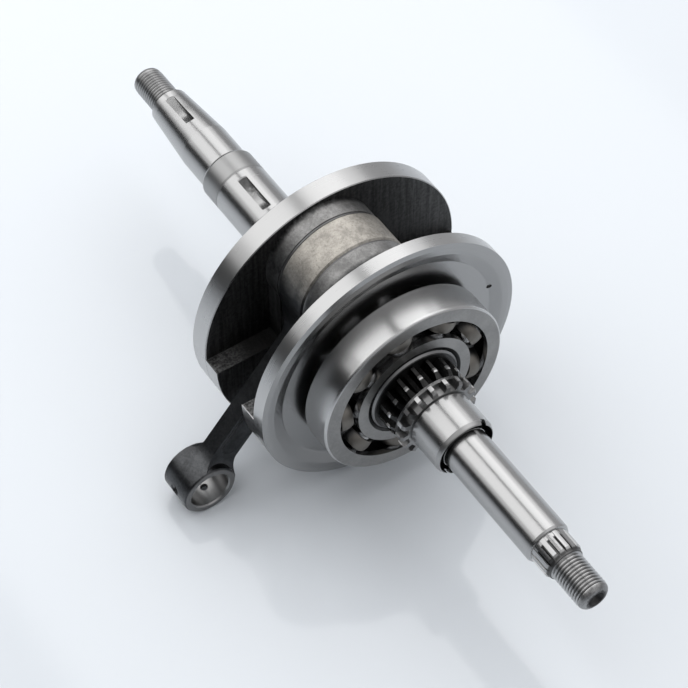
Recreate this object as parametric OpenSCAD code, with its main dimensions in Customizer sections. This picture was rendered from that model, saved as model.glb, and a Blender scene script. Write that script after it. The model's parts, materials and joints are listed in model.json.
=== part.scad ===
// Built-up crankshaft of a small single-cylinder engine, lying as it rests on a bench.
// X runs along the crank axis from the flywheel end to the drive end, and Z is up.
// Lengths along the shafts are counted outwards from the middle of the connecting rod.
// The origin is the middle of the main bearing.

/* [Crank] */
// Radius of the two round webs
web_r = 51.5; // [51:0.25:54]
// Distance from the crank axis to the crank pin axis, half the stroke
throw = 28.9; // [28.6:0.1:29.4]
// Direction of the crank pin, seen from the drive end
throw_angle = 100.5; // [80:0.5:120]
// Direction that the counterweights lie opposite to
balance_angle = 90; // [80:0.5:105]
// Inner face of each web, from the middle of the rod
web_wall_x = 15; // [14.5:0.25:15.5]
// Outer face of the flywheel-side web
flywheel_web_x = 23.3; // [22:0.1:24]
// Radius of the boss round the crank pin
boss_r = 21.1; // [20:0.1:21.5]
// Face of the boss and the counterweight, from the middle of the rod
boss_face_x = 7.8; // [7.8:0.1:8.6]
// Half width of the neck below the boss
neck_half_w = 20.2; // [16:0.2:20.6]

/* [Big end bearing] */
// Radius of the crank pin
pin_r = 11; // [10:0.25:11]
// Radius of a needle roller
needle_r = 1.75; // [1.5:0.05:2]
// Number of needle rollers
needle_count = 14; // [12:1:14]
// Thickness of each thrust washer
washer_t = 0.78; // [0.6:0.02:0.8]

/* [Connecting rod] */
// Distance between the eyes of the rod
rod_length = 92; // [90:0.5:96]
// Outer radius of the big end
big_end_r = 21.35; // [21:0.05:22]
// Width of the big end
big_end_w = 13.8; // [13.6:0.1:13.9]
// Outer radius of the small end
small_end_r = 10.3; // [10:0.1:11]
// Width of the small end
small_end_w = 14.4; // [13:0.1:15]
// Radius of the small end's bore
gudgeon_r = 7.5; // [7:0.1:7.5]
// Width of the shank
shank_w = 11.3; // [10:0.1:12]
// Thickness of the shank
shank_t = 6.6; // [6:0.1:8]

/* [Main bearing] */
// Inner face of the bearing, from the middle of the rod
bearing_x = 22.33; // [21.5:0.01:22.5]
// Radius of the bearing's bore
bearing_bore_r = 17.5; // [17:0.1:17.6]
// Outer radius of the bearing
bearing_r = 36; // [35:0.25:36.5]
// Width of the bearing
bearing_w = 13.2; // [12.6:0.1:13.4]
// Radius of a ball
ball_r = 5.556; // [5.2:0.01:5.7]
// Number of balls
ball_count = 9; // [7:1:9]
// Direction of the first ball
ball_phase = 20.6; // [0:0.1:40]

/* [Drive shaft] */
// End of the oil pump gear
gear_end_x = 44.9; // [44:0.1:45]
// Tip radius of the oil pump gear
gear_tip_r = 15.4; // [15:0.1:16]
// Teeth of the oil pump gear
gear_teeth = 16; // [14:1:18]
// End of the timing sprocket
sprocket_end_x = 50; // [49.5:0.1:50.5]
// Tip radius of the timing sprocket
sprocket_tip_r = 15.5; // [15:0.1:16]
// Teeth of the timing sprocket
sprocket_teeth = 17; // [15:1:18]
// Radius of the seal collar
collar_r = 11.63; // [11.4:0.01:12]
// End of the seal collar
collar_end_x = 65.2; // [65:0.1:67]
// Radius of the plain drive shaft
drive_r = 8.32; // [8.1:0.01:8.45]
// End of the plain drive shaft
drive_end_x = 110.6; // [105:0.1:113]
// Radius over the spline's teeth
spline_r = 7.26; // [7.15:0.01:7.4]
// Teeth of the spline
spline_teeth = 18; // [16:1:20]
// End of the spline
spline_end_x = 120.4; // [118:0.1:122]
// End of the drive shaft
drive_tip_x = 135.4; // [134:0.1:137]

/* [Flywheel shaft] */
// Radius of the flywheel-side bearing seat
seat_r = 11; // [10.9:0.01:11.5]
// Radius of the journal next to the seat
journal_r = 10.81; // [10.5:0.01:10.85]
// End of the bearing seat
seat_end_x = 51.6; // [50:0.1:52]
// End of the journal
journal_end_x = 83.3; // [82:0.1:85]
// Radius of the thick end of the taper
taper_r = 9.66; // [9.4:0.01:10]
// Start of the taper
taper_x = 98.4; // [97:0.1:100]
// Radius of the thin end of the taper
taper_tip_r = 7.5; // [7.2:0.01:7.8]
// End of the taper
taper_end_x = 123.2; // [122.5:0.1:124]
// End of the flywheel shaft
flywheel_tip_x = 140.5; // [139.5:0.1:142]
// Width of the key slots
key_w = 3.6; // [3:0.1:4]

/* [Threads] */
// Outer radius of both threaded ends
thread_r = 5.9; // [5.6:0.05:6]
// Pitch of both threads
thread_pitch = 1.25; // [1:0.25:1.5]

/* [Hidden] */
$fn = 96;

// Clearance of pressed and seated pieces, and of pieces that roll
press_gap = 0.02;
roll_gap = 0.02;
// Depth by which a tool or an added block passes the face it works on
over = 0.2;
// Small broken edge
edge = 0.3;

// Places worked out from the driving dimensions
bearing_mid_x = bearing_x + bearing_w / 2;
pin_y = throw * cos(throw_angle);
pin_z = throw * sin(throw_angle);
rod_angle = 180 + asin((pin_z + web_r - small_end_r) / rod_length);
big_end_bore_r = pin_r + 2 * needle_r;
needle_pitch_r = pin_r + needle_r;
pitch_r = 26.75;

// Webs
forged_r = web_r - press_gap;
inside_fillet = 4;
ledge_z = -1;
neck_depth = 12;
drive_rim_x = 20.6;
drive_land_x = 20.95;
drive_land_r = 49.4;
drive_step_r = 47;
drive_dish_r = 43;
drive_dish_x = 19.6;
dish_line = 0.3;
dish_floor_x = 19.45;
shoulder_r = 22.5;
pin_seat_end_x = 17;
mark_r = 1;
mark_depth = 1;
mark_angle = 14;

// Big end pieces
needle_len = 11.6;
cage_end = 1;
cage_gap = 0.45;
window_gap = 0.08;
washer_rim = 0.3;
washer_gap = 0.15;

// Rounded end of a plain stretch of shaft
round_len = 1.1;
round_drop = 0.4;
round_face = 0.3;

// Drive shaft steps
seat_lip_x = 36.3;
seat_edge = 0.9;
gear_x = 36.4;
gear_edge = 0.45;
gear_chamfer_x = 41.7;
gear_root_r = 12.5;
gear_front_r = 13.9;
gear_phase = 77;
gear_foot = 0.34;
gear_crest = 0.09;
land_r = 10.4;
sprocket_x = 45.4;
sprocket_face_x = 46.6;
sprocket_edge = 0.7;
sprocket_ring_r = 14.9;
sprocket_root_r = 12.7;
sprocket_phase = 99;
sprocket_foot = 0.24;
sprocket_crest = 0.13;
collar_land_r = 8.5;
collar_land_end_x = 64.2;
collar_cone_x = 63.6;
collar_lip_r = 11.1;
collar_mouth_r = 10.6;
collar_mouth_x = 60;
collar_mouth_edge = 0.5;
notch_w = 2.4;
notch_depth = 1.9;
notch_angle = 52;
spline_neck_r = 7.05;
spline_neck_len = 1.5;
spline_root_r = 6.5;
spline_foot = 0.46;
spline_crest = 0.28;
spline_runout = 2;
spline_relief = 0.7;

// Flywheel shaft steps
seat_shoulder_r = 14;
seat_shoulder_x = 25;
ring_line_x = 72.9;
ring_line_gap = 0.55;
line_depth = 0.12;
taper_relief = 1.8;
taper_key_mid_x = 113.6;
taper_key_len = 15.5;
taper_key_depth = 2.4;
journal_key_mid_x = 61.35;
journal_key_len = 17.1;
journal_key_depth = 2.4;

// Threaded ends
thread_depth = 0.61 * thread_pitch;
thread_root_r = thread_r - thread_depth;
ridge_foot = 0.06;
ridge_crest = 0.44;
tip_edge = 0.15;
tip_round = 2.2;
centre_r = 3.1;
centre_drill_r = 1.2;
centre_cone = 2.6;
centre_depth = 4.6;

// Rod details
rod_chamfer = 0.6;
bore_chamfer = 0.5;
big_fillet_r = 14;
small_fillet_r = 12;
side_fillet_r = 8;
side_fillet_big_z = 28.6;
side_fillet_small_z = rod_length - 14;
scoop_depth = 1.1;
scoop_r = 8.5;
scoop_big_z = 31;
scoop_small_z = rod_length - 18;
oil_hole_r = 1.4;
oil_sink_r = 2.3;
oil_hole_angle = 51;

// Bearing details
inner_land_r = 22.9;
outer_land_r = 30.15;
ring_round = 1.2;
round_steps = 6;
bore_edge = 1.4;
groove_gap = 0.05;
pocket_gap = 0.12;
ribbon_t = 0.85;
ribbon_in_r = 24.5;
ribbon_out_r = 29;
rivet_r = 0.9;
rivet_head_r = 1.7;
rivet_head_t = 0.7;

// Moves from the middle of the rod to the middle of the main bearing
module from_bearing() {
    translate([-bearing_mid_x, 0, 0]) children();
}

// Turns a profile of [radius, x] points about the crank axis
module turned(points) {
    rotate([0, 90, 0]) rotate_extrude() polygon(points);
}

// Extrudes a flat shape from x0 to x1, its own x along Y and its y along Z
module along_x(x0, x1) {
    translate([x0, 0, 0]) rotate([90, 0, 90]) linear_extrude(x1 - x0) children();
}

// A round bar along X
module bar(r, x0, x1) {
    translate([x0, 0, 0]) rotate([0, 90, 0]) cylinder(r = r, h = x1 - x0);
}

// Puts pieces on the crank pin
module at_pin() {
    translate([0, pin_y, pin_z]) children();
}

// Turns Z towards a direction in the plane across the shaft
module facing(angle) {
    rotate([angle - 90, 0, 0]) children();
}

// Corners of one tooth as [radius, share of the pitch] pairs, tapering from foot to crest
function tooth(root_r, tip_r, foot, crest) = [
    [root_r, -foot],
    [tip_r, -crest],
    [tip_r, crest],
    [root_r, foot]
];

// Outline of a wheel with a number of equal teeth
function toothed(count, corners, phase) = [
    for (i = [0:count - 1])
        for (corner = corners)
            let (angle = phase + 360 / count * (i + corner[1]))
                corner[0] * [cos(angle), sin(angle)]
];

// Ridges of a threaded stretch, as [radius, x] points
function ridges(x0, x1) = [
    for (i = [0:floor((x1 - x0) / thread_pitch) - 1])
        for (corner = [
            [thread_root_r, ridge_foot],
            [thread_r, ridge_crest],
            [thread_r, 1 - ridge_crest],
            [thread_root_r, 1 - ridge_foot]
        ])
            [corner[0], x0 + thread_pitch * (i + corner[1])]
];

// A rounded, centre-drilled end, as [radius, x] points
function shaft_tip(x) = concat(
    quarter_round(thread_r - tip_edge - tip_round, x - tip_round, tip_round, 0, 90),
    [[centre_r, x],
     [centre_drill_r, x - centre_cone],
     [centre_drill_r, x - centre_depth],
     [0, x - centre_depth - centre_drill_r]]);

// Narrow turned line in a plain stretch, as [radius, x] points
function turned_line(r, x) = [[r, x - line_depth], [r - line_depth, x], [r, x + line_depth]];

// Quarter round of radius c about a middle at [r, x], from one angle to another, as [radius, x] points
function quarter_round(r, x, c, from, to) = [
    for (i = [0:round_steps])
        let (angle = from + (to - from) * i / round_steps)
            [r + c * cos(angle), x + c * sin(angle)]
];

// Rounded end of a plain stretch, as [radius, x] points
function rounded_end(r, x) = [[r, x - round_len], [r - round_drop, x - round_face]];

flywheel_profile = concat(
    [[0, web_wall_x],
     [web_r - edge, web_wall_x],
     [web_r, web_wall_x + edge],
     [web_r, flywheel_web_x - edge],
     [web_r - edge, flywheel_web_x],
     [seat_shoulder_r, flywheel_web_x],
     [seat_shoulder_r, seat_shoulder_x],
     [seat_r, seat_shoulder_x],
     [seat_r, seat_end_x],
     [journal_r, seat_end_x]],
    turned_line(journal_r, ring_line_x),
    turned_line(journal_r, ring_line_x + ring_line_gap),
    rounded_end(journal_r, journal_end_x),
    [[taper_r, journal_end_x],
     [taper_r, taper_x],
     [taper_tip_r, taper_end_x],
     [thread_root_r, taper_end_x + taper_relief]],
    ridges(taper_end_x + taper_relief, flywheel_tip_x - tip_round),
    shaft_tip(flywheel_tip_x));

drive_profile = concat(
    [[0, web_wall_x],
     [web_r - edge, web_wall_x],
     [web_r, web_wall_x + edge],
     [web_r, drive_rim_x],
     [drive_land_r, drive_land_x],
     [drive_step_r, drive_land_x],
     [drive_dish_r, drive_dish_x],
     [drive_dish_r - dish_line, dish_floor_x],
     [shoulder_r, dish_floor_x],
     [shoulder_r, bearing_x],
     [bearing_bore_r - press_gap, bearing_x],
     [bearing_bore_r - press_gap, seat_lip_x - seat_edge],
     [bearing_bore_r - seat_edge, seat_lip_x],
     [land_r, seat_lip_x],
     [land_r, sprocket_end_x - over],
     [collar_land_r, sprocket_end_x - over],
     [collar_land_r, collar_land_end_x],
     [drive_r, collar_land_end_x]],
    rounded_end(drive_r, drive_end_x),
    [[spline_neck_r, drive_end_x],
     [spline_neck_r, drive_end_x + spline_neck_len],
     [spline_root_r, drive_end_x + spline_neck_len + spline_relief],
     [spline_root_r, spline_end_x - spline_relief],
     [thread_root_r, spline_end_x]],
    ridges(spline_end_x, drive_tip_x - tip_round),
    shaft_tip(drive_tip_x));

// Space that the spline's teeth are trimmed to
spline_envelope = [
    [0, drive_end_x - round_len],
    [spline_r, drive_end_x - round_len],
    [spline_r, spline_end_x - spline_relief - spline_runout],
    [spline_root_r - over, spline_end_x - spline_relief],
    [0, spline_end_x - spline_relief]
];

// Section of a round inside corner, with the two faces along x and y
module corner_section() {
    difference() {
        translate([-over, -over]) square(inside_fillet + over);
        translate([inside_fillet, inside_fillet]) circle(r = inside_fillet);
    }
}

// Outline of the raised inner side of a web: the boss, its neck and the counterweight
module inside_outline() {
    translate([pin_y, pin_z]) circle(r = boss_r);
    translate([pin_y - neck_half_w, -neck_depth]) square([2 * neck_half_w, pin_z + neck_depth]);
    rotate(balance_angle - 90) translate([-web_r, -web_r]) square([2 * web_r, web_r + ledge_z]);
}

// Round inside corners where the raised side meets the web's wall
module inside_corners() {
    at_pin() rotate([0, 90, 0]) rotate_extrude()
        translate([boss_r, web_wall_x]) mirror([0, 1]) corner_section();
    facing(balance_angle) rotate([90, 0, 0]) linear_extrude(2 * web_r, center = true)
        translate([web_wall_x, ledge_z]) mirror([1, 0]) corner_section();
    translate([0, pin_y, -neck_depth]) linear_extrude(pin_z + neck_depth)
        for (side = [1, -1])
            translate([web_wall_x, side * neck_half_w]) mirror([1, 0]) scale([1, side]) corner_section();
}

// The raised inner side of a web
module web_inside() {
    root_x = web_wall_x + over;
    intersection() {
        bar(forged_r, 0, root_x);
        union() {
            along_x(boss_face_x, root_x) inside_outline();
            inside_corners();
        }
    }
}

// Slot for a disc-shaped key, cut by a round cutter
module key_slot(mid_x, surface_r, length, depth) {
    cutter_r = (pow(length / 2, 2) + pow(depth, 2)) / (2 * depth);
    facing(throw_angle)
        translate([mid_x, 0, surface_r - depth + cutter_r])
            rotate([90, 0, 0]) cylinder(r = cutter_r, h = key_w, center = true);
}

module flywheel_half() {
    taper_slope = (taper_tip_r - taper_r) / (taper_end_x - taper_x);
    taper_key_r = taper_r + taper_slope * (taper_key_mid_x - taper_x);
    color("lightsteelblue") from_bearing() mirror([1, 0, 0]) difference() {
        union() {
            turned(flywheel_profile);
            web_inside();
        }
        at_pin() bar(pin_r + press_gap, 0, flywheel_web_x + over);
        key_slot(taper_key_mid_x, taper_key_r, taper_key_len, taper_key_depth);
        key_slot(journal_key_mid_x, journal_r, journal_key_len, journal_key_depth);
    }
}

module drive_half() {
    spline_tooth = tooth(spline_root_r - over, spline_r + over, spline_foot, spline_crest);
    color("silver") from_bearing() difference() {
        union() {
            turned(drive_profile);
            web_inside();
            intersection() {
                turned(spline_envelope);
                along_x(drive_end_x - round_len, spline_end_x)
                    polygon(toothed(spline_teeth, spline_tooth, 0));
            }
        }
        at_pin() bar(pin_r + press_gap, 0, pin_seat_end_x);
        facing(mark_angle) translate([drive_dish_x - mark_depth, 0, drive_dish_r])
            rotate([0, 90, 0]) cylinder(r = mark_r, h = drive_land_x - drive_dish_x + mark_depth);
    }
}

module crank_pin() {
    color("gainsboro") from_bearing() at_pin() bar(pin_r, -flywheel_web_x + over, pin_seat_end_x - over);
}

// Washer between the rod and a boss, on the side given by 1 or -1
module thrust_washer(side) {
    washer_x = boss_face_x - press_gap - washer_t;
    color("darkkhaki") from_bearing() mirror([side < 0 ? 1 : 0, 0, 0]) at_pin() difference() {
        bar(boss_r - washer_rim, washer_x, washer_x + washer_t);
        bar(pin_r + washer_gap, washer_x - over, washer_x + washer_t + over);
    }
}

module thrust_washer_flywheel_side() {
    thrust_washer(-1);
}

module thrust_washer_drive_side() {
    thrust_washer(1);
}

// Wedge between the shank and an eye, up to the middle of the fillet on one side
module fillet_wedge(eye_z, touch, mid, side) {
    polygon([
        [0, eye_z],
        [side * touch[0], touch[1]],
        [side * mid[0], mid[1]],
        [0, mid[1]]
    ]);
}

// Outline of the shank between the eyes, blended into both by round fillets
module shank_outline() {
    half_w = shank_w / 2;
    big_reach = big_end_r + big_fillet_r;
    small_reach = small_end_r + small_fillet_r;
    big_mid = [half_w + big_fillet_r, sqrt(pow(big_reach, 2) - pow(half_w + big_fillet_r, 2))];
    small_rise = sqrt(pow(small_reach, 2) - pow(half_w + small_fillet_r, 2));
    small_mid = [half_w + small_fillet_r, rod_length - small_rise];
    big_touch = big_mid * big_end_r / big_reach;
    small_touch = [0, rod_length] + (small_mid - [0, rod_length]) * small_end_r / small_reach;
    difference() {
        union() {
            translate([-half_w, 0]) square([shank_w, rod_length]);
            for (side = [1, -1]) {
                fillet_wedge(0, big_touch, big_mid, side);
                fillet_wedge(rod_length, small_touch, small_mid, side);
            }
        }
        for (side = [1, -1]) {
            translate([side * big_mid[0], big_mid[1]]) circle(r = big_fillet_r);
            translate([side * small_mid[0], small_mid[1]]) circle(r = small_fillet_r);
        }
    }
}

// A long slot shape with round ends, from low to high along y
module stadium(half_w, low, high) {
    translate([-half_w, low]) square([2 * half_w, high - low]);
    translate([0, low]) circle(r = half_w);
    translate([0, high]) circle(r = half_w);
}

// Long hollow in a face of the shank, with spoon-shaped ends
module scoop() {
    translate([shank_t / 2 - scoop_depth + scoop_r, 0, 0]) {
        translate([0, 0, scoop_big_z]) cylinder(r = scoop_r, h = scoop_small_z - scoop_big_z);
        translate([0, 0, scoop_big_z]) sphere(r = scoop_r);
        translate([0, 0, scoop_small_z]) sphere(r = scoop_r);
    }
}

// The shank, thinner than the eyes, with a hollow in each face
module shank() {
    difference() {
        along_x(-big_end_w / 2 + over, big_end_w / 2 - over) shank_outline();
        for (side = [1, -1])
            mirror([side < 0 ? 1 : 0, 0, 0]) {
                translate([shank_t / 2 + side_fillet_r, 0, 0])
                    rotate([90, 0, 0]) linear_extrude(3 * big_end_r, center = true)
                        stadium(side_fillet_r, side_fillet_big_z, side_fillet_small_z);
                scoop();
            }
    }
}

// A chamfered eye of the rod
module eye(r, w, chamfer) {
    turned([
        [0, -w / 2],
        [r - chamfer, -w / 2],
        [r, -w / 2 + chamfer],
        [r, w / 2 - chamfer],
        [r - chamfer, w / 2],
        [0, w / 2]
    ]);
}

// A bore with chamfered mouths, as the space it takes away
module eye_bore(r, w, chamfer) {
    turned([
        [0, -w / 2 - over],
        [r + chamfer + over, -w / 2 - over],
        [r, -w / 2 + chamfer],
        [r, w / 2 - chamfer],
        [r + chamfer + over, w / 2 + over],
        [0, w / 2 + over]
    ]);
}

module connecting_rod() {
    color("dimgray") from_bearing() at_pin() facing(rod_angle) difference() {
        union() {
            eye(big_end_r, big_end_w, rod_chamfer);
            translate([0, 0, rod_length]) eye(small_end_r, small_end_w, rod_chamfer);
            shank();
        }
        eye_bore(big_end_bore_r, big_end_w, bore_chamfer);
        translate([0, 0, rod_length]) {
            eye_bore(gudgeon_r, small_end_w, bore_chamfer);
            for (side = [1, -1])
                rotate([side * oil_hole_angle, 0, 0]) {
                    cylinder(r = oil_hole_r, h = small_end_r + over);
                    translate([0, 0, small_end_r - oil_sink_r])
                        cylinder(r1 = 0, r2 = oil_sink_r + over, h = oil_sink_r + over);
                }
        }
    }
}

module big_end_cage() {
    half_len = needle_len / 2 + cage_end;
    window_half = needle_len / 2 + window_gap;
    color("darkgoldenrod") from_bearing() at_pin() difference() {
        bar(big_end_bore_r - cage_gap, -half_len, half_len);
        bar(pin_r + cage_gap, -half_len - over, half_len + over);
        for (i = [1:needle_count])
            facing(360 / needle_count * i) translate([0, 0, needle_pitch_r])
                bar(needle_r + window_gap, -window_half, window_half);
    }
}

module big_end_needle(i) {
    color("whitesmoke") from_bearing() at_pin() facing(360 / needle_count * i)
        translate([0, 0, needle_pitch_r]) bar(needle_r - roll_gap, -needle_len / 2, needle_len / 2);
}

// Section of the ball groove that both rings share
module groove() {
    translate([pitch_r, 0]) circle(r = ball_r + groove_gap);
}

module main_bearing_inner_ring() {
    half_w = bearing_w / 2;
    color("lightgray") rotate([0, 90, 0]) rotate_extrude() difference() {
        polygon([
            [bearing_bore_r, bore_edge - half_w],
            [bearing_bore_r + bore_edge, -half_w],
            [inner_land_r, -half_w],
            [inner_land_r, half_w],
            [bearing_bore_r + bore_edge, half_w],
            [bearing_bore_r, half_w - bore_edge]
        ]);
        groove();
    }
}

module main_bearing_outer_ring() {
    half_w = bearing_w / 2;
    color("lightgray") rotate([0, 90, 0]) rotate_extrude() difference() {
        polygon(concat(
            [[outer_land_r, -half_w]],
            quarter_round(bearing_r - ring_round, ring_round - half_w, ring_round, -90, 0),
            quarter_round(bearing_r - ring_round, half_w - ring_round, ring_round, 0, 90),
            [[outer_land_r, half_w]]));
        groove();
    }
}

// Puts a piece at the place of ball number i, or between two balls at i + 0.5
module at_ball(i) {
    facing(ball_phase + 360 / ball_count * (i - 1)) translate([0, 0, pitch_r]) children();
}

// One pressed half of the cage: flat bridges with a cup over each ball
module cage_half() {
    shell_r = ball_r + pocket_gap + ribbon_t;
    difference() {
        intersection() {
            union() {
                bar(ribbon_out_r, press_gap / 2, ribbon_t);
                for (i = [1:ball_count])
                    at_ball(i) sphere(r = shell_r);
            }
            difference() {
                bar(ribbon_out_r, press_gap / 2, bearing_w / 2);
                bar(ribbon_in_r, -over, bearing_w);
            }
        }
        for (i = [1:ball_count]) {
            at_ball(i) sphere(r = ball_r + pocket_gap);
            at_ball(i + 0.5) bar(rivet_r + press_gap, -over, ribbon_t + over);
        }
    }
}

module main_bearing_cage_front() {
    color("darkgray") cage_half();
}

module main_bearing_cage_back() {
    color("darkgray") mirror([1, 0, 0]) cage_half();
}

module main_bearing_cage_rivets() {
    head_x = ribbon_t + press_gap;
    color("gray") for (i = [1:ball_count])
        at_ball(i + 0.5) {
            bar(rivet_r, -head_x, head_x);
            bar(rivet_head_r, head_x - press_gap / 2, head_x + rivet_head_t);
            bar(rivet_head_r, -head_x - rivet_head_t, press_gap / 2 - head_x);
        }
}

module main_bearing_ball(i) {
    color("white") at_ball(i) sphere(r = ball_r);
}

module oil_pump_gear() {
    gear_tooth = tooth(gear_root_r, gear_tip_r + over, gear_foot, gear_crest);
    color("darkslategray") from_bearing() difference() {
        intersection() {
            along_x(gear_x, gear_end_x) polygon(toothed(gear_teeth, gear_tooth, gear_phase));
            turned([
                [0, gear_x],
                [gear_tip_r - gear_edge, gear_x],
                [gear_tip_r, gear_x + gear_edge],
                [gear_tip_r, gear_chamfer_x],
                [gear_front_r, gear_end_x],
                [0, gear_end_x]
            ]);
        }
        bar(land_r + press_gap, gear_x - over, gear_end_x + over);
    }
}

module timing_sprocket() {
    chain_tooth = tooth(sprocket_root_r, sprocket_tip_r + over, sprocket_foot, sprocket_crest);
    color("silver") from_bearing() difference() {
        union() {
            bar(sprocket_ring_r, sprocket_x, sprocket_face_x);
            intersection() {
                along_x(sprocket_face_x - over, sprocket_end_x)
                    polygon(toothed(sprocket_teeth, chain_tooth, sprocket_phase));
                turned([
                    [0, sprocket_x],
                    [sprocket_tip_r, sprocket_x],
                    [sprocket_tip_r, sprocket_end_x - sprocket_edge],
                    [sprocket_tip_r - sprocket_edge, sprocket_end_x],
                    [0, sprocket_end_x]
                ]);
            }
        }
        bar(land_r + press_gap, sprocket_x - over, sprocket_end_x + over);
    }
}

module seal_collar() {
    start_x = sprocket_end_x + press_gap;
    color("silver") from_bearing() difference() {
        turned([
            [collar_land_r + press_gap, start_x],
            [collar_r - edge, start_x],
            [collar_r, start_x + edge],
            [collar_r, collar_cone_x],
            [collar_lip_r, collar_end_x - edge],
            [collar_lip_r - edge, collar_end_x],
            [collar_mouth_r, collar_end_x],
            [collar_mouth_r, collar_mouth_x],
            [collar_land_r + press_gap, collar_mouth_x - collar_mouth_edge]
        ]);
        facing(notch_angle)
            translate([collar_end_x - notch_depth, -notch_w / 2, -2 * collar_r])
                cube([notch_depth + over, notch_w, 4 * collar_r]);
    }
}

flywheel_half();
drive_half();
crank_pin();
thrust_washer_flywheel_side();
thrust_washer_drive_side();
connecting_rod();
big_end_cage();
for (i = [1:needle_count])
    big_end_needle(i);
main_bearing_inner_ring();
main_bearing_outer_ring();
main_bearing_cage_back();
main_bearing_cage_front();
main_bearing_cage_rivets();
for (i = [1:ball_count])
    main_bearing_ball(i);
oil_pump_gear();
timing_sprocket();
seal_collar();
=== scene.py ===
"""Looks of a built-up crankshaft: metal finishes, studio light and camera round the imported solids."""
import json
import math

import bpy
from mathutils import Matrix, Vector


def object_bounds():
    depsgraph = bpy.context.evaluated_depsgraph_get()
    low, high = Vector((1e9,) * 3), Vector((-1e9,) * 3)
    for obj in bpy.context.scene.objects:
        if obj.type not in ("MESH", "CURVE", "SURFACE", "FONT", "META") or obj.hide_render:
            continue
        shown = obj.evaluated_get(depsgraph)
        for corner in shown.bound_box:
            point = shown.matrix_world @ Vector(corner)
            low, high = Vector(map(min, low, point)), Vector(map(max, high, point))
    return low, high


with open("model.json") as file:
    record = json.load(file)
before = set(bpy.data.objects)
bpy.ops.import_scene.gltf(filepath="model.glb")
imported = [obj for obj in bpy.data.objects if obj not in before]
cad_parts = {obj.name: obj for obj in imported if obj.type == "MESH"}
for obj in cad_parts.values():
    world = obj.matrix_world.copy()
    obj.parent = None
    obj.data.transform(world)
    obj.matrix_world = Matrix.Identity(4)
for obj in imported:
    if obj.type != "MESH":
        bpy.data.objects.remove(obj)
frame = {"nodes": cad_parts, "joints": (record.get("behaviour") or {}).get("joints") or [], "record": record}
cad_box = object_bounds()
nodes = frame["nodes"]
joints = {joint["name"]: joint for joint in frame["joints"]}
mounts = {mount["name"]: mount for mount in frame["record"]["mounts"]}

# Camera, fitted to the photograph, in metres and in millimetres of lens
CAMERA_PLACE = Vector((0.3954, -0.2900, 0.6420))
CAMERA_AIM = Vector((-0.51251, 0.34437, -0.78658))
CAMERA_LENS = 125.0
SENSOR = 36.0

# The floor is where the webs and the small end rest
FLOOR_Z = cad_box[0].z
FLOOR_HALF = 6.0
FLOOR_COLOUR = (0.755, 0.795, 0.84, 1.0)
FLOOR_ROUGH = 0.08

# Two soft ceiling panels with a gap between them, their dimmer edges and a dim panel in front,
# in metres, and how bright they look
PANEL_Z = 1.05
PANELS = {
    "left_panel": {"x": (-2.6, 0.25), "y": (-1.2, -0.045), "radiance": 1.7},
    "left_edge": {"x": (-2.6, 0.25), "y": (-2.3, -1.2), "radiance": 0.95},
    "right_panel": {"x": (-2.6, 0.25), "y": (0.095, 0.95), "radiance": 1.85},
    "right_edge": {"x": (-2.6, 0.25), "y": (0.95, 1.75), "radiance": 1.0},
    "front_panel": {"x": (0.25, 2.2), "y": (-2.0, 1.6), "radiance": 0.4},
}

# The room is dark towards -X and -Y, and paler towards +X and +Y
DARK_SIDE = (0.015, 0.015, 0.016, 1.0)
PALE_SIDE = (0.55, 0.55, 0.56, 1.0)
PALE_X_SHARE = 0.6
PALE_FADE = (-0.1, 0.6)

# Places in millimetres: X along the shaft from the middle of the rod, R from the axis of the shaft.
# A name that ends in FADE says where a zone begins to show and where it shows fully.
# The others are the two ends of a zone, which fades over an edge.
MM = 1000.0
EDGE = 0.1
PIN = Vector(joints["rod_swing"]["pos_m"]) * MM

# Shaft ends
THREAD_FADE = (120.4, 121.0)
THREAD_ROOT_FADE = (5.7, 5.3)
TIP_ROUND = 2.2
RIDGES_X = (cad_box[0].x * MM - PIN.x + TIP_ROUND, cad_box[1].x * MM - PIN.x - TIP_ROUND)
TIP_EDGE = 0.3
TIP_HOLE_FADE = (4.3, 3.5)
SPLINE_X = (111.2, 119.8)
SPLINE_EDGE = 0.2
SPLINE_ROOT_FADE = (7.05, 6.75)

# Dull band at the end of the journal
BAND_X = (-82.6, -73.0)
BAND_EDGE = 0.15
BAND_FADE = (12.0, 11.5)

# Key slots, which open towards the crank pin
# The slot walls are painted nearly black, as painted shade
SLOT_WALL = (1.7, 1.9)
SLOT_WALL_EDGE = 0.05
SLOT_SIDE_FADE = (4.0, 5.0)
TAPER_X = (-123.2, -98.4)
TAPER_R = (7.5, 9.66)
TAPER_SLOT_X = (-121.3, -105.9)
TAPER_DEPTH_FADE = (0.1, 0.2)
JOURNAL_SLOT_X = (-69.9, -52.8)
JOURNAL_SLOT_FADE = (10.7, 10.6)
# Painted shade with some grime: the journal's slot floor is darker towards its outer end
SHADE_AND_GRIME_FADE = (-62.0, -66.0)
SHADE_AND_GRIME_END_FADE = (-70.2, -70.0)
SHADE_AND_GRIME_FLOOR_FADE = (10.7, 10.5)

# Seat of the main bearing
SEAT_EDGE_X = (35.4, 36.4)
SEAT_EDGE_R = (16.5, 17.5)
SEAT_END_X = (35.9, 36.6)
SEAT_END_R = (10.0, 16.8)

# Webs, which rest on the floor
WEB_R = -FLOOR_Z * MM
WEB_FACE_FADE = (17.6, 17.8)
WEB_WALL_FADE = (14.6, 14.8)
RIM_FADE = (WEB_R - 0.12, WEB_R - 0.05)
INSIDE_WALL_FADE = (15.1, 15.05)
INSIDE_RIM_FADE = (WEB_R - 0.3, WEB_R - 0.4)
LEDGE_FADE = (4.0, 2.0)
# Painted light: the ledges are paler and speckled towards the rim, where light reaches in between the webs
LIT_LEDGE_END_FADE = (34.0, 49.0)
BOSS_FADE = (22.3, 21.3)
BOSS_DEPTH_FADE = (14.4, 12.0)
# Painted light: the bosses are paler on top and to the right, where the light falls
BOSS_LIT_TOP_FADE = (6.0, 18.0)

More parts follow.
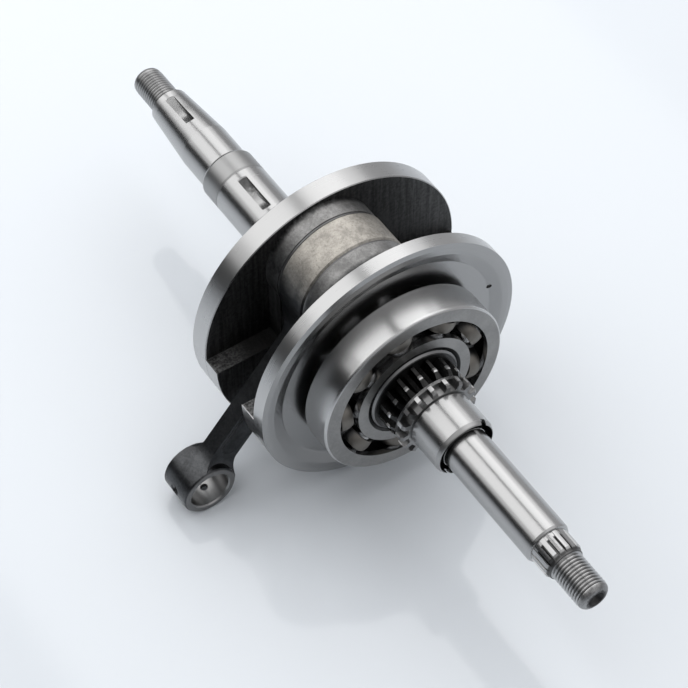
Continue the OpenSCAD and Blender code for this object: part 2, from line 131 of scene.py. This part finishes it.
# Rod, with distances from the middle of its small end and of its big end
ROD_EYE = Vector(mounts["gudgeon_pin_bore"]["pos_m"]) * MM
SMALL_END_FADE = (13.0, 10.5)
SMALL_FACE_FADE = (10.0, 9.7)
SMALL_BORE_FADE = (8.1, 7.9)
BIG_END_FADE = (22.35, 21.45)
# Painted light: the big end is paler on top and to the right of the crank pin, where the light falls
BIG_END_LIT_TOP_FADE = (2.0, 15.0)
LIT_RIGHT_EDGE = 4.0

# Pieces on the drive shaft
RING_BORE_FADE = (19.1, 18.9)
GEAR_CREST_FADE = (15.1, 15.3)
# A painted glint across the gear's tooth tips, where their front chamfer begins
GEAR_GLINT_FADE = (14.7, 14.9)
GEAR_GLINT_X = (40.9, 42.1)
GEAR_GLINT_EDGE = 0.3
# A painted highlight on the sprocket's tooth tips, which stops short of the front
SPROCKET_HIGHLIGHT_FADE = (15.0, 15.3)
SPROCKET_HIGHLIGHT_FRONT_FADE = (48.8, 48.4)
SPROCKET_ROOT_FADE = (13.3, 12.9)
COLLAR_CONE_FADE = (63.5, 63.7)
# The collar's mouth is painted nearly black, as painted shade
COLLAR_MOUTH_SHADE_FADE = (10.75, 10.65)
# The cage is one sheet, painted darker on its bridges than on its cups, as painted shade
CAGE_CUP_FADE = (2.0, 4.5)

# How square a face stands to the shaft, from 0 on a round face to 1 on an end face
RIM_ROUND_FADE = (0.3, 0.2)
LEDGE_SLOPE_FADE = (0.95, 0.8)
SMALL_FACE_SQUARE_FADE = (0.4, 0.6)
RING_SQUARE_FADE = (0.8, 0.9)
RING_ROUND_FADE = (0.9, 0.8)
END_SQUARE_FADE = (0.7, 0.9)

# Noises of the finishes, whose scales are features per millimetre
MARKS = {"detail": 2.0, "rough": 0.7}
GRAIN = {"scale": 1.1, "detail": 5.0, "rough": 0.7}
BLOTCHES = {"scale": 0.16, "detail": 3.0, "rough": 0.6}
PITS = {"scale": 2.1, "detail": 3.0, "rough": 0.6}
SCALE_GRAIN = {"scale": 0.8, "detail": 4.0, "rough": 0.65}
STREAKS = {"scale": 1.0, "detail": 3.0, "rough": 0.6}
STREAK_STRETCH = (0.5, 0.9, 0.05)
STAIN_SIZE = 9.0

# How the noises show: where they set in, and how far they spread a tone or a roughness
MOTTLE_FADE = (0.35, 0.65)
SCALE_FADE = (0.35, 0.7)
PIT_FADE = (0.42, 0.3)
TURNED_SPREAD = (0.92, 1.07)
FORGED_SPREAD = (0.68, 1.25)
SCALED_SPREAD = (0.5, 1.9)
ROUGH_SPREAD = (0.85, 1.15)
SCALED_ROUGH_SPREAD = (0.85, 1.2)
EVEN_MIX = 0.5
BLOTCH_SHARE = 0.55
PIT_SHARE = 0.6
PIT_TONE = 0.3
MARK_HEIGHT = 0.12
RING_MOTTLE = 0.4

# Ends of the bright pieces, against the tone and the roughness round them
END_TONE = 0.9
END_ROUGH = 1.3

# Warm greys lose this many times as much blue as they gain red
BLUE_SHARE = 1.5

# Blur across the cutter marks, and the turn that lays it round the shaft
BRUSHED = 0.4
QUARTER_TURN = 0.25


class Graph:
    """Short calls that build one node tree."""

    def __init__(self, tree):
        self.tree = tree
        tree.nodes.clear()

    def add(self, kind, inputs=None, **settings):
        node = self.tree.nodes.new("ShaderNode" + kind)
        for name, value in settings.items():
            setattr(node, name, value)
        for key, value in (inputs or {}).items():
            self.put(node.inputs[key], value)
        return node

    def put(self, socket, value):
        if isinstance(value, bpy.types.NodeSocket):
            self.tree.links.new(value, socket)
        else:
            socket.default_value = value

    def math(self, operation, a, b=0.0):
        return self.add("Math", {0: a, 1: b}, operation=operation).outputs[0]

    def overlap(self, *masks):
        """The product of several masks."""
        product = masks[0]
        for mask in masks[1:]:
            product = self.math("MULTIPLY", product, mask)
        return product

    def step(self, value, start, full):
        """0 up to start and 1 from full on, rising or falling along the value."""
        falls = start > full
        ends = {1: min(start, full), 2: max(start, full), 3: float(falls), 4: float(not falls)}
        return self.add("MapRange", {0: value, **ends}, interpolation_type="SMOOTHSTEP").outputs[0]

    def between(self, value, ends, edge=EDGE):
        """1 between two ends, fading over an edge outside both."""
        low, high = ends
        return self.overlap(self.step(value, low - edge, low), self.step(value, high + edge, high))

    def noise(self, vector, scale, detail=3.0, rough=0.55):
        inputs = {"Vector": vector, "Scale": scale, "Detail": detail, "Roughness": rough}
        return self.add("TexNoise", inputs).outputs[0]

    # The Mix node's sockets 6 and 7 take colours, and 2 and 3 take numbers
    def colour(self, share, low, high):
        return self.add("Mix", {0: share, 6: low, 7: high}, data_type="RGBA").outputs[2]

    def number(self, share, low, high):
        return self.add("Mix", {0: share, 2: low, 3: high}, data_type="FLOAT").outputs[0]

    def vector(self, x=0.0, y=0.0, z=0.0):
        return self.add("CombineXYZ", {0: x, 1: y, 2: z}).outputs[0]

    def stretched(self, vector, scale):
        return self.add("VectorMath", {0: vector, 1: scale}, operation="MULTIPLY").outputs[0]


def grey(value, warmth=0.0):
    """A grey of that linear value, warmer above 0 and cooler below."""
    return (value * (1 + warmth), value, value * (1 - BLUE_SHARE * warmth), 1.0)


def around(value, spread):
    """The low and the high value round a middle one."""
    return [value * share for share in spread]


def greys(tone, spread, warmth=0.0):
    """The dark and the pale grey round a middle one."""
    return [grey(value, warmth) for value in around(tone, spread)]


class Metal(Graph):
    """A metal surface that knows where it is on the crank, and takes its finishes zone over zone.

    Brushed is how much more it blurs reflections across the cutter marks round the shaft than along
    them. A finish is a tone, a roughness and a height.
    """

    def __init__(self, name, brushed=0.0):
        self.material = bpy.data.materials.new(name)
        self.material.use_nodes = True
        super().__init__(self.material.node_tree)
        inputs = {"Metallic": 1.0, "Anisotropic": brushed, "Anisotropic Rotation": QUARTER_TURN}
        if brushed:
            inputs["Tangent"] = self.add("Tangent", direction_type="RADIAL", axis="X").outputs[0]
        self.shader = self.add("BsdfPrincipled", inputs)
        output = self.add("OutputMaterial")
        self.tree.links.new(self.shader.outputs[0], output.inputs["Surface"])
        coordinates = self.add("TexCoord").outputs
        normal = self.add("SeparateXYZ", {0: coordinates["Normal"]}).outputs
        self.facing_x = self.math("ABSOLUTE", normal[0])
        inputs = {0: coordinates["Object"], 1: (MM, MM, MM), 2: (-PIN.x, 0.0, 0.0)}
        self.place = self.add("VectorMath", inputs, operation="MULTIPLY_ADD").outputs[0]
        self.x, self.y, self.z = self.add("SeparateXYZ", {0: self.place}).outputs
        self.out = self.math("ABSOLUTE", self.x)
        self.r = self.distance(0.0, 0.0)

    def distance(self, y, z):
        """Distance from a line along the shaft through y, z."""
        across = self.vector(0.0, self.math("SUBTRACT", self.y, y), self.math("SUBTRACT", self.z, z))
        return self.add("VectorMath", {0: across}, operation="LENGTH").outputs["Value"]

    def lines(self, along, pitch):
        """Fine cutter marks that repeat along a coordinate, about pitch apart."""
        return self.noise(self.vector(along), 1.0 / pitch, **MARKS)

    def patches(self, size):
        return self.noise(self.place, 1.0 / size)

    def ragged(self, value, size, depth):
        """The value, pushed up and down by depth in patches of a size."""
        return self.math("ADD", value, self.number(self.patches(size), -depth, depth))

    def turned(self, along, tone, rough, pitch=0.5):
        """Finish of a turned or ground surface."""
        marks = self.lines(along, pitch)
        stain = self.patches(STAIN_SIZE)
        shade = self.number(EVEN_MIX, marks, self.number(stain, *MOTTLE_FADE))
        dullness = self.number(EVEN_MIX, marks, stain)
        return (
            self.colour(shade, *greys(tone, TURNED_SPREAD)),
            self.number(dullness, *around(rough, ROUGH_SPREAD)),
            self.math("MULTIPLY", marks, MARK_HEIGHT),
        )

    def forged(self, tone, rough, warmth=0.0):
        """Finish of a blasted forging with small pits."""
        grain = self.noise(self.place, **GRAIN)
        pits = self.step(self.noise(self.place, **PITS), *PIT_FADE)
        blotched = self.number(BLOTCH_SHARE, grain, self.noise(self.place, **BLOTCHES))
        skin = self.colour(self.step(blotched, *MOTTLE_FADE), *greys(tone, FORGED_SPREAD, warmth))
        return (
            self.colour(self.math("MULTIPLY", pits, PIT_SHARE), skin, grey(tone * PIT_TONE, warmth)),
            self.number(grain, *around(rough, ROUGH_SPREAD)),
            self.number(pits, grain, 0.0),
        )

    def scaled(self, tone, rough):
        """Finish of a forging with its dark scale on, streaked downwards."""
        streaks = self.noise(self.stretched(self.place, STREAK_STRETCH), **STREAKS)
        grain = self.noise(self.place, **SCALE_GRAIN)
        mottle = self.step(self.number(EVEN_MIX, streaks, grain), *SCALE_FADE)
        return (
            self.colour(mottle, *greys(tone, SCALED_SPREAD)),
            self.number(grain, *around(rough, SCALED_ROUGH_SPREAD)),
            grain,
        )

    def cover(self, finish):
        """Lays a finish over the whole surface."""
        self.tone, self.rough, self.height = finish

    def zone(self, mask, finish):
        """Lays a finish over what is there, by a mask."""
        tone, rough, height = finish
        self.tone = self.colour(mask, self.tone, tone)
        self.rough = self.number(mask, self.rough, rough)
        self.height = self.number(mask, self.height, height)

    def done(self, bump):
        """The material, with its heights scaled to bump millimetres."""
        self.put(self.shader.inputs["Base Color"], self.tone)
        self.put(self.shader.inputs["Roughness"], self.rough)
        inputs = {"Height": self.height, "Strength": 1.0, "Distance": bump / MM}
        self.put(self.shader.inputs["Normal"], self.add("Bump", inputs).outputs[0])
        return self.material


def shaft_zones(metal):
    """Ground shafts with dark thread and spline roots, worn tips and a dull band."""
    metal.cover(metal.turned(metal.x, tone=0.43, rough=0.26))
    thread = metal.step(metal.out, *THREAD_FADE)
    metal.zone(thread, metal.turned(metal.x, tone=0.48, rough=0.3))
    ridges = metal.between(metal.x, RIDGES_X)
    thread_roots = metal.overlap(thread, ridges, metal.step(metal.r, *THREAD_ROOT_FADE))
    metal.zone(thread_roots, metal.turned(metal.x, tone=0.24, rough=0.4))
    tips = metal.math("SUBTRACT", 1.0, metal.between(metal.x, RIDGES_X, TIP_EDGE))
    metal.zone(tips, metal.forged(tone=0.28, rough=0.4))
    hole = metal.step(metal.ragged(metal.r, size=1.2, depth=1.2), *TIP_HOLE_FADE)
    metal.zone(metal.overlap(tips, hole), metal.forged(tone=0.07, rough=0.5))
    spline = metal.between(metal.x, SPLINE_X, SPLINE_EDGE)
    spline_roots = metal.overlap(spline, metal.step(metal.r, *SPLINE_ROOT_FADE))
    metal.zone(spline_roots, metal.turned(metal.x, tone=0.1, rough=0.4))
    band = metal.overlap(metal.between(metal.x, BAND_X, BAND_EDGE), metal.step(metal.r, *BAND_FADE))
    metal.zone(band, metal.turned(metal.x, tone=0.35, rough=0.4, pitch=0.3))


def key_slot_zones(metal):
    """Walls of both key slots painted dark as painted shade, and painted shade with some grime at one end of
    the journal's slot.
    """
    to_pin = PIN.yz.normalized()
    y_part = metal.math("MULTIPLY", metal.y, to_pin.y)
    z_part = metal.math("MULTIPLY", metal.z, to_pin.x)
    across = metal.math("ABSOLUTE", metal.math("SUBTRACT", y_part, z_part))
    pin_side = metal.step(metal.z, *SLOT_SIDE_FADE)
    # Painted shade on the walls of both slots
    wall = metal.overlap(metal.between(across, SLOT_WALL, SLOT_WALL_EDGE), pin_side)

    along_taper = metal.add("MapRange", {0: metal.x, 1: TAPER_X[0], 2: TAPER_X[1]}).outputs[0]
    depth = metal.math("SUBTRACT", metal.number(along_taper, *TAPER_R), metal.r)
    in_taper = metal.overlap(metal.between(metal.x, TAPER_SLOT_X), metal.step(depth, *TAPER_DEPTH_FADE))
    metal.zone(metal.overlap(wall, in_taper), metal.forged(tone=0.04, rough=0.45))

    below_journal = metal.step(metal.r, *JOURNAL_SLOT_FADE)
    in_journal = metal.overlap(metal.between(metal.x, JOURNAL_SLOT_X), below_journal)
    metal.zone(metal.overlap(wall, in_journal), metal.forged(tone=0.04, rough=0.45))

    # Painted shade with some grime at the outer end of the journal's slot floor
    shade_and_grime = metal.step(metal.ragged(metal.x, size=2.0, depth=4.0), *SHADE_AND_GRIME_FADE)
    slot_end = metal.step(metal.x, *SHADE_AND_GRIME_END_FADE)
    slot_floor = metal.overlap(metal.step(metal.r, *SHADE_AND_GRIME_FLOOR_FADE), pin_side)
    metal.zone(metal.overlap(shade_and_grime, slot_end, slot_floor), metal.forged(tone=0.13, rough=0.45))


def seat_zones(metal):
    """Dull edge and dark end face of the main bearing's seat."""
    edge = metal.overlap(metal.between(metal.x, SEAT_EDGE_X), metal.between(metal.r, SEAT_EDGE_R))
    metal.zone(edge, metal.turned(metal.x, tone=0.24, rough=0.4))
    end = metal.overlap(metal.between(metal.x, SEAT_END_X), metal.between(metal.r, SEAT_END_R))
    metal.zone(end, metal.forged(tone=0.05, rough=0.4))


def lit_and_clean_side(metal, top_fade):
    """The upper and right side of the big end and its bosses: painted light where the lamps fall on them,
    and partly where the scale is cleaned off.
    """
    above = metal.ragged(metal.math("SUBTRACT", metal.z, PIN.z), size=4.0, depth=3.0)
    right = metal.step(metal.y, PIN.y, PIN.y + LIT_RIGHT_EDGE)
    return metal.math("MAXIMUM", metal.step(above, *top_fade), right)


def web_zones(metal):
    """Turned web faces and rims, forged insides, dull ledges painted paler towards the rim as painted light,
    and pale bosses round the crank pin, paler on top and to the right as painted light.
    """
    face = metal.overlap(metal.step(metal.r, *WEB_FACE_FADE), metal.step(metal.out, *WEB_WALL_FADE))
    metal.zone(face, metal.turned(metal.r, tone=0.34, rough=0.21, pitch=0.7))
    rim = metal.overlap(metal.step(metal.r, *RIM_FADE), metal.step(metal.facing_x, *RIM_ROUND_FADE))
    metal.zone(rim, metal.turned(metal.x, tone=0.46, rough=0.28, pitch=0.6))

    within_walls = metal.step(metal.out, *INSIDE_WALL_FADE)
    inside = metal.overlap(within_walls, metal.step(metal.r, *INSIDE_RIM_FADE))
    metal.zone(inside, metal.scaled(tone=0.06, rough=0.5))
    slope = metal.step(metal.facing_x, *LEDGE_SLOPE_FADE)
    ledge = metal.overlap(inside, metal.step(metal.z, *LEDGE_FADE), slope)
    metal.zone(ledge, metal.forged(tone=0.05, rough=0.5))
    # Painted light: the ledge is paler and speckled towards the rim
    outer = metal.step(metal.math("ABSOLUTE", metal.y), *LIT_LEDGE_END_FADE)
    lit_ledge_end = metal.overlap(ledge, outer, metal.step(metal.patches(0.9), *MOTTLE_FADE))
    metal.zone(lit_ledge_end, metal.forged(tone=0.2, rough=0.45))

    # The bosses are pale only on top and to the right, as painted light
    near_pin = metal.step(metal.distance(PIN.y, PIN.z), *BOSS_FADE)
    raised = metal.step(metal.ragged(metal.out, size=2.5, depth=1.2), *BOSS_DEPTH_FADE)
    boss = metal.overlap(inside, near_pin, raised, lit_and_clean_side(metal, BOSS_LIT_TOP_FADE))
    metal.zone(boss, metal.forged(tone=0.27, rough=0.5, warmth=0.01))


def crank_half_finish():
    metal = Metal("crank_halves", brushed=BRUSHED)
    shaft_zones(metal)
    key_slot_zones(metal)
    seat_zones(metal)
    web_zones(metal)
    return metal.done(bump=0.04)


def rod_finish():
    """Blackened forging with a pale big end, paler on top and to the right as painted light, and ground
    small-end faces.
    """
    metal = Metal("rod")
    metal.cover(metal.forged(tone=0.042, rough=0.4, warmth=-0.04))
    eye = metal.distance(ROD_EYE.y, ROD_EYE.z)
    metal.zone(metal.step(eye, *SMALL_END_FADE), metal.forged(tone=0.07, rough=0.3, warmth=-0.03))
    square = metal.step(metal.facing_x, *SMALL_FACE_SQUARE_FADE)
    ground = metal.overlap(metal.step(eye, *SMALL_FACE_FADE), square)
    metal.zone(ground, metal.turned(eye, tone=0.17, rough=0.34))
    metal.zone(metal.step(eye, *SMALL_BORE_FADE), metal.turned(metal.x, tone=0.3, rough=0.3))
    # The big end is pale only on top and to the right of the crank pin, as painted light
    near_pin = metal.step(metal.distance(PIN.y, PIN.z), *BIG_END_FADE)
    big_end = metal.overlap(near_pin, lit_and_clean_side(metal, BIG_END_LIT_TOP_FADE))
    metal.zone(big_end, metal.forged(tone=0.38, rough=0.5, warmth=0.06))
    return metal.done(bump=0.04)


def ring_finish():
    """Bearing rings: polished round, satin and faintly mottled on the faces, dark in the bore."""
    metal = Metal("bearing_rings", brushed=BRUSHED)
    metal.cover(metal.turned(metal.x, tone=0.48, rough=0.24))
    face = metal.step(metal.facing_x, *RING_SQUARE_FADE)
    metal.zone(face, metal.turned(metal.r, tone=0.28, rough=0.36))
    mottled = metal.math("MULTIPLY", face, RING_MOTTLE)
    metal.zone(mottled, metal.forged(tone=0.26, rough=0.38, warmth=0.03))
    round_face = metal.step(metal.facing_x, *RING_ROUND_FADE)
    bore = metal.overlap(metal.step(metal.r, *RING_BORE_FADE), round_face)
    metal.zone(bore, metal.forged(tone=0.06, rough=0.4))
    return metal.done(bump=0.01)


def gear_finish():
    """Black oxide, with a painted glint across the tooth tips where their front chamfer begins."""
    metal = Metal("oil_pump_gear")
    metal.cover(metal.forged(tone=0.04, rough=0.24))
    metal.zone(metal.step(metal.r, *GEAR_CREST_FADE), metal.turned(metal.x, tone=0.12, rough=0.3))
    # Painted glint: a bright band on the tooth tips where their front chamfer begins
    glint_stretch = metal.between(metal.x, GEAR_GLINT_X, GEAR_GLINT_EDGE)
    worn = metal.overlap(metal.step(metal.r, *GEAR_GLINT_FADE), glint_stretch)
    metal.zone(worn, metal.turned(metal.x, tone=0.6, rough=0.3))
    return metal.done(bump=0.02)


def sprocket_finish():
    """Tooth tips painted bright as a painted highlight, and plain roots, between tooth flanks painted dark
    as painted shade.
    """
    metal = Metal("timing_sprocket")
    # Painted shade: the tooth flanks and the rest of the sprocket are painted dark
    metal.cover(metal.forged(tone=0.22, rough=0.3))
    # Painted highlight on the tooth tips
    behind_front = metal.step(metal.x, *SPROCKET_HIGHLIGHT_FRONT_FADE)
    tips = metal.overlap(metal.step(metal.r, *SPROCKET_HIGHLIGHT_FADE), behind_front)
    metal.zone(tips, metal.turned(metal.x, tone=0.6, rough=0.3))
    metal.zone(metal.step(metal.r, *SPROCKET_ROOT_FADE), metal.turned(metal.x, tone=0.25, rough=0.34))
    return metal.done(bump=0.02)


def collar_finish():
    """Ground collar with a duller cone at its end and a dark mouth, which is painted shade."""
    metal = Metal("seal_collar", brushed=BRUSHED)
    metal.cover(metal.turned(metal.x, tone=0.43, rough=0.26))
    metal.zone(metal.step(metal.x, *COLLAR_CONE_FADE), metal.turned(metal.x, tone=0.36, rough=0.34))
    # Painted shade inside the collar's mouth
    metal.zone(metal.step(metal.r, *COLLAR_MOUTH_SHADE_FADE), metal.forged(tone=0.04, rough=0.4))
    return metal.done(bump=0.01)


def bright_finish(name, tone, rough):
    """Ground all round, a little duller on the ends."""
    metal = Metal(name)
    metal.cover(metal.turned(metal.x, tone, rough))
    ends = metal.step(metal.facing_x, *END_SQUARE_FADE)
    metal.zone(ends, metal.turned(metal.r, tone * END_TONE, rough * END_ROUGH))
    return metal.done(bump=0.02)


def sheet_finish():
    """Pressed sheet of the ball cage in two painted tones, as painted shade between the rings: dark bridges
    at the bearing's middle, and paler cups.
    """
    metal = Metal("ball_cage")
    # Painted shade: the bridges deep between the rings are darker than the cups
    metal.cover(metal.forged(tone=0.12, rough=0.42))
    from_middle = metal.math("ABSOLUTE", metal.math("ADD", metal.x, PIN.x))
    plain_sheet = (grey(0.17, warmth=0.06), 0.45, 0.0)
    metal.zone(metal.step(from_middle, *CAGE_CUP_FADE), plain_sheet)
    return metal.done(bump=0.02)


def dress(names, material):
    for name in names:
        nodes[name].data.materials.clear()
        nodes[name].data.materials.append(material)


def named(start):
    return [name for name in nodes if name.startswith(start)]


def dress_all():
    dress(["flywheel_half", "drive_half"], crank_half_finish())
    dress(["connecting_rod"], rod_finish())
    dress(["main_bearing_inner_ring", "main_bearing_outer_ring"], ring_finish())
    dress(named("main_bearing_cage") + ["big_end_cage"], sheet_finish())
    dress(["oil_pump_gear"], gear_finish())
    dress(["timing_sprocket"], sprocket_finish())
    dress(["seal_collar"], collar_finish())
    dress(named("thrust_washer"), bright_finish("thrust_washers", tone=0.14, rough=0.4))
    rollers = ["crank_pin"] + named("big_end_needle") + named("main_bearing_ball")
    dress(rollers, bright_finish("rollers", tone=0.38, rough=0.14))


def make_camera():
    data = bpy.data.cameras.new("camera")
    data.lens = CAMERA_LENS
    data.sensor_width = SENSOR
    camera = bpy.data.objects.new("camera", data)
    camera.location = CAMERA_PLACE
    camera.rotation_mode = "QUATERNION"
    camera.rotation_quaternion = CAMERA_AIM.to_track_quat("-Z", "Y")
    bpy.context.scene.collection.objects.link(camera)
    bpy.context.scene.camera = camera


def make_floor():
    mesh = bpy.data.meshes.new("floor")
    signs = ((-1, -1), (1, -1), (1, 1), (-1, 1))
    corners = [(x * FLOOR_HALF, y * FLOOR_HALF, FLOOR_Z) for x, y in signs]
    mesh.from_pydata(corners, [], [(0, 1, 2, 3)])
    floor = bpy.data.objects.new("floor", mesh)
    bpy.context.scene.collection.objects.link(floor)
    material = bpy.data.materials.new("floor")
    material.use_nodes = True
    shader = material.node_tree.nodes["Principled BSDF"]
    shader.inputs["Base Color"].default_value = FLOOR_COLOUR
    shader.inputs["Roughness"].default_value = FLOOR_ROUGH
    floor.data.materials.append(material)


def make_panel(name, x, y, radiance):
    data = bpy.data.lights.new(name, "AREA")
    data.shape = "RECTANGLE"
    data.size, data.size_y = x[1] - x[0], y[1] - y[0]
    data.energy = radiance * math.pi * data.size * data.size_y
    panel = bpy.data.objects.new(name, data)
    panel.location = (sum(x) / 2, sum(y) / 2, PANEL_Z)
    bpy.context.scene.collection.objects.link(panel)


def make_room():
    world = bpy.data.worlds.new("room")
    world.use_nodes = True
    graph = Graph(world.node_tree)
    direction = graph.add("SeparateXYZ", {0: graph.add("TexCoord").outputs["Generated"]}).outputs
    pale = graph.math("ADD", graph.math("MULTIPLY", direction[0], PALE_X_SHARE), direction[1])
    shade = graph.colour(graph.step(pale, *PALE_FADE), DARK_SIDE, PALE_SIDE)
    background = graph.add("Background", {0: shade})
    graph.add("OutputWorld", {0: background.outputs[0]})
    bpy.context.scene.world = world


make_camera()
make_floor()
make_room()
for panel_name, panel in PANELS.items():
    make_panel(panel_name, **panel)
bpy.context.scene.view_settings.view_transform = "Standard"
dress_all()
